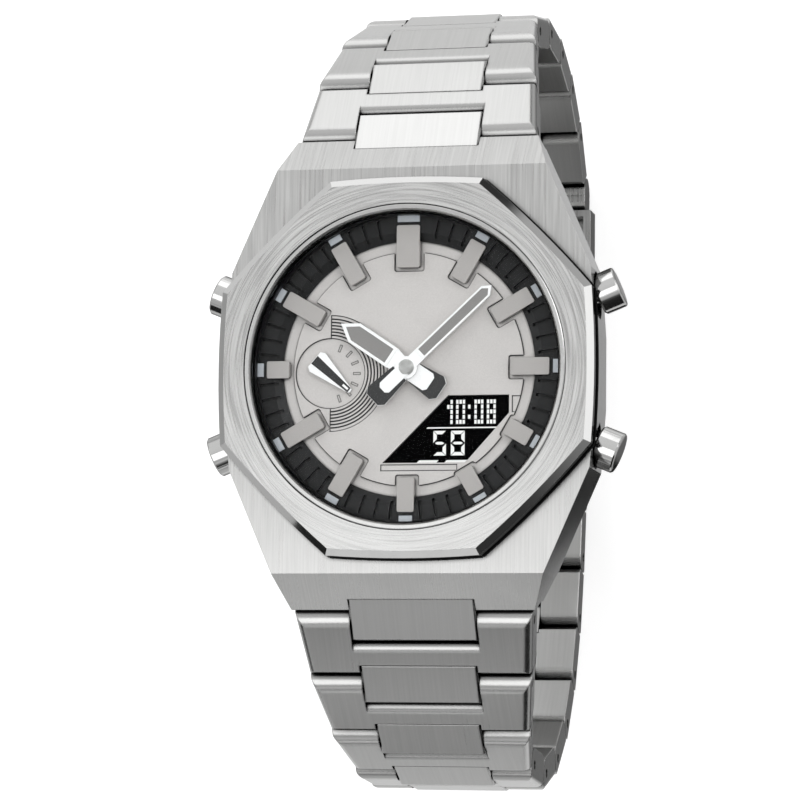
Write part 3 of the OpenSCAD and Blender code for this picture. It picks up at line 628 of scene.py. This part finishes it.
dress_hand("minute", MINUTE_TURN, Z_MINUTE,
           outer=blade(start=2.0, shoulder=12.08, tip=12.96, half=0.715),
           inner=blade(start=2.35, shoulder=11.95, tip=12.5, half=0.5),
           tail=tail_outline(half=1.38, start=-0.95, end=-5.12),
           white=tongue(half=0.76, start=0.0, end=-3.6))
dress_hand("hour", HOUR_TURN, Z_HOUR,
           outer=blade(start=2.02, shoulder=7.15, tip=8.96, half=1.2),
           inner=blade(start=2.4, shoulder=7.0, tip=8.3, half=0.9),
           tail=tail_outline(half=1.48, start=-1.0, end=-4.67),
           white=tongue(half=1.1, start=0.0, end=-3.25))

plates("day_stripe", [on_day_dial(DAY_STRIPE, DAY_TURN)], *layer(Z_DAY, DAY_STRIPE_RISE),
       hand_dark, "day", DAY_EDGE)
plates("day_light", [on_day_dial(DAY_LIGHT, DAY_TURN)], *layer(Z_DAY, DAY_LIGHT_RISE, 0),
       hand_white, "day", DAY_EDGE)


# Dial details

# Ticks of the day dial: first and next angles from twelve, and the boxes of one tick as x, y, width
# and height
TICK_COUNT, TICK_FIRST, TICK_STEP = 7, 21, 23.2
TICK_OUTER, TICK_INNER = (-0.15, 2.55, 0.3, 0.85), (-0.08, 2.62, 0.16, 0.71)
TICK_RISE, TICK_EDGE = 0.03, 0.005

# Chips on the black ring: the widths from twelve on, the inner end and the length
CHIP_WIDTHS = [2.5] + [1.5] * 11
CHIP_START, CHIP_LENGTH = 16.23, 0.74
CHIP_RISE, CHIP_EDGE = 0.14, 0.03


def day_ticks():
    angles = [-(TICK_FIRST + TICK_STEP * i) for i in range(TICK_COUNT)]
    pairs = [(on_day_dial(box_outline(*TICK_OUTER), angle),
              on_day_dial(box_outline(*TICK_INNER), angle)) for angle in angles]
    rims("day_ticks", pairs, *layer(Z_SUBDIAL, TICK_RISE), tick_grey, "head", TICK_EDGE)


def crease_shadow_lines(name, node, levels, reaches, width, material):
    """Dark hairlines of painted shade along the foot of every upright wall of a node.

    levels and reaches bound the height and the distance from the middle of the walls' feet.
    """
    steepest, level_gap, lift = 0.15, 1e-6, 0.006
    verts, faces = [], []
    mesh = NODES[node].data
    for polygon in mesh.polygons:
        n = polygon.normal
        if abs(n.z) > steepest:
            continue
        a, b = sorted((mesh.vertices[v].co for v in polygon.vertices), key=lambda co: co.z)[:2]
        level = (a.z - TOP) / MM
        reach = math.hypot(a.x, a.y) / MM
        if (abs(a.z - b.z) > level_gap or not levels[0] < level < levels[1]
                or not reaches[0] < reach < reaches[1]):
            continue
        side = Vector((n.x, n.y, 0)).normalized() * width
        start = len(verts)
        for co, push in ((a, 0), (b, 0), (b, 1), (a, 1)):
            verts.append((co.x / MM + side.x * push, co.y / MM + side.y * push, level + lift))
        order = (0, 1, 2, 3) if (b - a).cross(side).z > 0 else (3, 2, 1, 0)
        faces.append(tuple(start + i for i in order))
    make(name, verts, faces, material, "head")


def ring_chips():
    """Light chips on the black ring, one outside each hour."""
    outlines = [turned(box_outline(-width / 2, CHIP_START, width, CHIP_LENGTH), -30 * hour)
                for hour, width in enumerate(CHIP_WIDTHS)]
    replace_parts(plates("ring_chips", outlines, *layer(Z_RING, CHIP_RISE, 0), chip_paint, "head",
                       CHIP_EDGE), "minute_chips")


day_ticks()
# Painted shade: dark lines at the foot of the dial's steps and pockets, and of the bezel on the
# case
crease_shadow_lines("dial_crease_shadows", "dial_plate", levels=(Z_DIAL - 0.26, Z_DIAL - 0.05),
             reaches=(1.4, 16.0), width=0.1, material=crease_shadow_dark)
crease_shadow_lines("bezel_seam_shadow", "bezel", levels=(Z_CASE - 0.05, Z_CASE + 0.05),
             reaches=(20.5, 30.0), width=0.17, material=seam_shadow_black)
ring_chips()

# Digital display: cells of the upper line, then strokes of the lower one
CELL_SIZE = (0.27, 0.44)
CELL_STEP = (0.365, 0.555)
UPPER_TOP = -3.92
UPPER_LINE = (("1", 4.35), ("0", 5.35), (":", 6.32), ("0", 7.39), ("8", 8.77))
GLYPHS = {
    "1": ("010", "110", "010", "010", "010"),
    "0": ("111", "101", "101", "101", "111"),
    "8": ("111", "101", "111", "101", "111"),
    ":": ("000", "010", "000", "010", "000"),
}
DISPLAY_RISE, DISPLAY_SUNK, DISPLAY_EDGE = 0.012, 0.005, 0.003
LOWER_BOTTOM, LOWER_HEIGHT = -9.62, 2.76
STROKE_HALF, STROKE_CUT, STROKE_GAP, STROKE_OUTER = 0.2, 0.4, 0.05, 0.9
BAR_TIP, BAR_SHOULDER, BAR_HALF = 0.2, 0.45, 0.15
FIVE = ("top", "left_up", "middle", "right_low", "bottom")
EIGHT = ("top", "left_up", "left_low", "middle", "right_up", "right_low", "bottom")
DISPLAY_LINES = [
    [(2.05, -6.62), (10.0, -6.62), (9.85, -6.48), (2.2, -6.48)],
    [(1.0, -10.38), (3.2, -10.38), (3.45, -10.1), (1.3, -10.1)],
    [(4.1, -10.38), (6.4, -10.38), (6.65, -10.1), (4.35, -10.1)],
]


def show(name, outlines):
    """Light shapes on the display."""
    plates(name, outlines, *layer(Z_LCD, DISPLAY_RISE, DISPLAY_SUNK), lcd_white, "head",
           DISPLAY_EDGE)


def upper_digits():
    outlines = []
    for glyph, left in UPPER_LINE:
        for row, cells in enumerate(GLYPHS[glyph]):
            for column, lit in enumerate(cells):
                if lit == "1":
                    x, y = left + column * CELL_STEP[0], UPPER_TOP - row * CELL_STEP[1]
                    outlines.append(box_outline(x, y, *CELL_SIZE))
    return outlines


def stroke(a, b):
    """Bar of a seven-stroke digit from a to b, mitred at both ends."""
    along = Vector((b[0] - a[0], b[1] - a[1])).normalized()
    across = Vector((-along.y, along.x))
    start, end = Vector(a), Vector(b)
    inner = STROKE_GAP + STROKE_CUT
    return [tuple(start + along * STROKE_GAP + across * STROKE_HALF * STROKE_OUTER),
            tuple(start + along * inner - across * STROKE_HALF),
            tuple(end - along * inner - across * STROKE_HALF),
            tuple(end - along * STROKE_GAP + across * STROKE_HALF * STROKE_OUTER)]


def seven_strokes(left, width, lit):
    """Strokes of one lower digit, each drawn in the direction that turns its short side inward."""
    right, low, high = left + width, LOWER_BOTTOM, LOWER_BOTTOM + LOWER_HEIGHT
    middle, half = (low + high) / 2, STROKE_HALF
    tip, shoulder, thin = BAR_TIP, BAR_SHOULDER, BAR_HALF
    strokes = {
        "top": stroke((left, high - half), (right, high - half)),
        "bottom": stroke((right, low + half), (left, low + half)),
        "left_up": stroke((left + half, middle), (left + half, high)),
        "left_low": stroke((left + half, low), (left + half, middle)),
        "right_up": stroke((right - half, high), (right - half, middle)),
        "right_low": stroke((right - half, middle), (right - half, low)),
        "middle": [(left + tip, middle), (left + shoulder, middle + thin),
                   (right - shoulder, middle + thin), (right - tip, middle),
                   (right - shoulder, middle - thin), (left + shoulder, middle - thin)],
    }
    return [strokes[key] for key in lit]


show("digits_upper", upper_digits())
show("digits_lower", seven_strokes(left=2.82, width=1.46, lit=FIVE)
     + seven_strokes(left=4.78, width=1.58, lit=EIGHT))
show("display_lines", DISPLAY_LINES)


# Stage, light, camera

# The floor, its middle as the camera sees it, and its glow: where it fades out in mirrors, its
# level in mirrors and for the camera, and how much a distance towards twelve counts
FLOOR_HALF, FLOOR_LEVEL = 12.0, -0.0002
FLOOR_CENTRE = (-0.014, 0.003, 0.0)
FLOOR_SCALE, FLOOR_TONES = 3.0, (grey(0.62), grey(0.64))
GLOW_REACH = (0.078, 0.105)
GLOW_MIRRORED, GLOW_SEEN = 0.5, 0.58
GLOW_BEHIND = 0.45

# Brightness of the room by direction: two soft steps along y, and a lift high up towards six
ROOM_STEPS = ((-0.86, -0.70, 0.36, 0.62), (-0.70, 0.5, 0.0, 0.33))
LIFT_Z, LIFT_Y = (0.48, 0.56), (-0.76, -0.6, 0.4, 0.0)

# Dark cards in the room: how dark each is, and the soft edges that bound it. An edge has an axis
# and where its step begins and ends. The card lies past an edge in the first list, and before an
# edge in the second.
CARDS = (
    # Towards six on the right
    (0.92, (("x", 0.02, 0.14),), (("y", -0.72, -0.50), ("z", 0.62, 0.82))),
    # Towards twelve on the right: a narrow post, and a paler strip beside it
    (0.95, (("x", 0.33, 0.39), ("y", 0.6, 0.7)), (("x", 0.455, 0.485), ("z", 0.4, 0.5))),
    (0.38, (("x", 0.455, 0.485), ("y", 0.6, 0.7)), (("x", 0.58, 0.66), ("z", 0.4, 0.5))),
    # Towards six on the left: a band at middle height
    (0.5, (("z", 0.36, 0.44),), (("z", 0.47, 0.53), ("y", -0.75, -0.6), ("x", 0.0, 0.1))),
    # Towards twelve, close to the horizon
    (0.5, (("y", 0.80, 0.90),), (("z", 0.07, 0.12),)),
)

# Lamps: place and target from the middle of the bezel's top, size in metres, level
LAMPS = {
    "lamp_over": ((-0.10, -0.105, 0.40), (-0.10, -0.105, 0), (0.30, 0.25), 1.5),
    "lamp_key": ((0.34, 0.22, 0.42), (0, 0, 0), (0.24, 0.24), 3.2),
    "lamp_left": ((-0.45, 0.02, 0.24), (0, 0, 0), (0.40, 0.30), 0.9),
    "lamp_right": ((0.46, 0.12, 0.14), (0, 0, 0), (0.34, 0.24), 0.6),
    "lamp_far": ((-0.045, 0.24, 0.12 - TOP), (-0.045, 0, 0.12 - TOP), (0.24, 0.23), 0.92),
    "lamp_side": ((-0.175, -0.045, 0.40), (-0.175, -0.045, 0), (0.09, 0.09), 2.6),
    "lamp_front": ((-0.03, -0.13, 0.0325), (-0.03, 0, 0.0325), (0.10, 0.009), 0.6),
    "lamp_corner": ((-0.40, 0.34, -0.03), (0, 0, 0), (0.22, 0.10), 0.45),
    "lamp_low": ((-0.03, -0.13, 0.006), (-0.03, 0, 0.006), (0.10, 0.02), 0.8),
}

# Black cards for mirror reflections: two upright ones, each from x to x, and one on the floor
FLAG_SPANS = {"flag_right": (0.015, 0.15), "flag_left": (-0.13, -0.072)}
FLAG_Y, FLAG_LOW, FLAG_RISE = -0.095, 0.001, 0.03
FLAG_FLOOR_X, FLAG_FLOOR_Y = (0.025, 0.036), (-0.048, -0.012)
FLAG_SCALE, FLAG_TONES, FLAG_ROUGH, FLAG_SHINE = 40.0, (grey(0.012), grey(0.02)), 0.9, 0.1


def floor():
    """Pale floor that glows: white to the camera, and in mirrors only close to the watch."""
    s = Shader("floor_pale")
    place = s.add("ShaderNodeTexCoord").outputs["Object"]
    base = s.tint(s.from_noise(s.noise(place, FLOOR_SCALE, 2.0)), *FLOOR_TONES)
    plain = s.add("ShaderNodeBsdfDiffuse", {"Color": base}).outputs[0]
    ray = s.add("ShaderNodeLightPath").outputs
    mirrored = s.math("MAXIMUM", ray["Is Glossy Ray"], ray["Is Transmission Ray"])
    offset = s.vector("SUBTRACT", place, FLOOR_CENTRE)
    around = s.add("ShaderNodeSeparateXYZ", {0: offset}).outputs
    forward = s.math("MINIMUM", around["Y"], s.times(around["Y"], GLOW_BEHIND))
    away = s.add("ShaderNodeCombineXYZ", {0: around["X"], 1: forward}).outputs[0]
    reach = s.span(s.vector("LENGTH", away), *GLOW_REACH)
    near = s.times(s.math("SUBTRACT", 1.0, reach), GLOW_MIRRORED)
    seen = s.math("MAXIMUM", s.times(ray["Is Camera Ray"], GLOW_SEEN), s.times(mirrored, near))
    glow = s.add("ShaderNodeEmission", {"Color": WHITE, "Strength": seen}).outputs[0]
    s.finish(s.add("ShaderNodeAddShader", {0: plain, 1: glow}))
    half, z = FLOOR_HALF, FLOOR_LEVEL
    mesh = bpy.data.meshes.new("floor")
    mesh.from_pydata([(-half, -half, z), (half, -half, z), (half, half, z), (-half, half, z)], [],
                     [(0, 1, 2, 3)])
    obj = add_object("floor", mesh)
    mesh.materials.append(s.material)


def world_light():
    """Plain room: light overhead and towards twelve, with a few dark cards in it."""
    world = bpy.data.worlds.new("studio")
    bpy.context.scene.world = world
    world.use_nodes = True
    room = Nodes(world.node_tree, "ShaderNodeOutputWorld")
    where = room.add("ShaderNodeTexCoord").outputs["Generated"]
    x, y, z = room.add("ShaderNodeSeparateXYZ", {0: where}).outputs
    axis = {"x": x, "y": y, "z": z}
    base = room.math("ADD", *[room.soft_span(y, *step) for step in ROOM_STEPS])
    lift = room.times(room.soft_span(z, *LIFT_Z), room.soft_span(y, *LIFT_Y))
    base = room.math("ADD", base, lift)
    dark = 0.0
    for darkness, past, before in CARDS:
        edges = [room.soft_span(axis[name], low, high) for name, low, high in past]
        edges += [room.soft_span(axis[name], low, high, 1.0, 0.0) for name, low, high in before]
        dark = room.math("ADD", dark, room.times(*edges, darkness))
    level = room.times(base, room.math("SUBTRACT", 1.0, dark))
    room.finish(room.add("ShaderNodeBackground", {"Color": WHITE, "Strength": level}))


def softbox(name, place, target, size, level):
    """Area lamp whose face has the given brightness, where 1 is white."""
    lamp = bpy.data.lights.new(name, "AREA")
    lamp.shape = "RECTANGLE"
    lamp.size, lamp.size_y = size
    lamp.energy = level * math.pi * size[0] * size[1]
    obj = add_object(name, lamp)
    head = Vector((0, 0, TOP))
    obj.location = head + Vector(place)
    aim = Vector(target) - Vector(place)
    obj.rotation_euler = aim.to_track_quat("-Z", "Y").to_euler()
    obj.visible_camera = False


def flag(name, corners):
    """Black card that only shows in mirror reflections: gives polished steel its dark bands."""
    s = Shader(f"{name}_black")
    place = s.add("ShaderNodeTexCoord").outputs["Object"]
    tone = s.tint(s.noise(place, FLAG_SCALE), *FLAG_TONES)
    s.finish(s.add("ShaderNodeBsdfPrincipled", {
        "Base Color": tone, "Roughness": FLAG_ROUGH, "Specular IOR Level": FLAG_SHINE}))
    mesh = bpy.data.meshes.new(name)
    mesh.from_pydata(corners, [], [(0, 1, 2, 3)])
    mesh.materials.append(s.material)
    obj = add_object(name, mesh)
    obj.visible_camera = obj.visible_diffuse = obj.visible_shadow = False
    obj.visible_transmission = obj.visible_volume_scatter = False


def flags():
    y, low, high = FLAG_Y, FLAG_LOW, TOP + FLAG_RISE
    for name, (near, far) in FLAG_SPANS.items():
        flag(name, [(near, y, low), (far, y, low), (far, y, high), (near, y, high)])
    (left, right), (front, back) = FLAG_FLOOR_X, FLAG_FLOOR_Y
    flag("flag_floor", [(left, front, low), (right, front, low), (right, back, low),
                        (left, back, low)])


def camera():
    back = Vector((math.sin(CAM_YAW) * math.cos(CAM_PITCH), math.sin(CAM_PITCH),
                   math.cos(CAM_YAW) * math.cos(CAM_PITCH)))
    level = Vector((0, 1, 0)).cross(back).normalized()
    above = back.cross(level)
    right = math.cos(CAM_ROLL) * level + math.sin(CAM_ROLL) * above
    up = -math.sin(CAM_ROLL) * level + math.cos(CAM_ROLL) * above
    spot = CAM_DISTANCE * back + CAM_SHIFT_X * right + CAM_SHIFT_Y * up
    data = bpy.data.cameras.new("camera")
    data.sensor_width = SENSOR
    data.lens = CAM_PX_PER_MM * CAM_DISTANCE / IMAGE_PX * SENSOR
    data.clip_start, data.clip_end = CAM_CLIP
    obj = add_object("camera", data)
    turn = Matrix((right, up, back)).transposed().to_4x4()
    obj.matrix_world = Matrix.Translation(Vector((0, 0, TOP)) + spot * MM) @ turn
    bpy.context.scene.camera = obj


floor()
world_light()
flags()
for name, settings in LAMPS.items():
    softbox(name, *settings)
camera()
bpy.context.scene.view_settings.view_transform = "Standard"
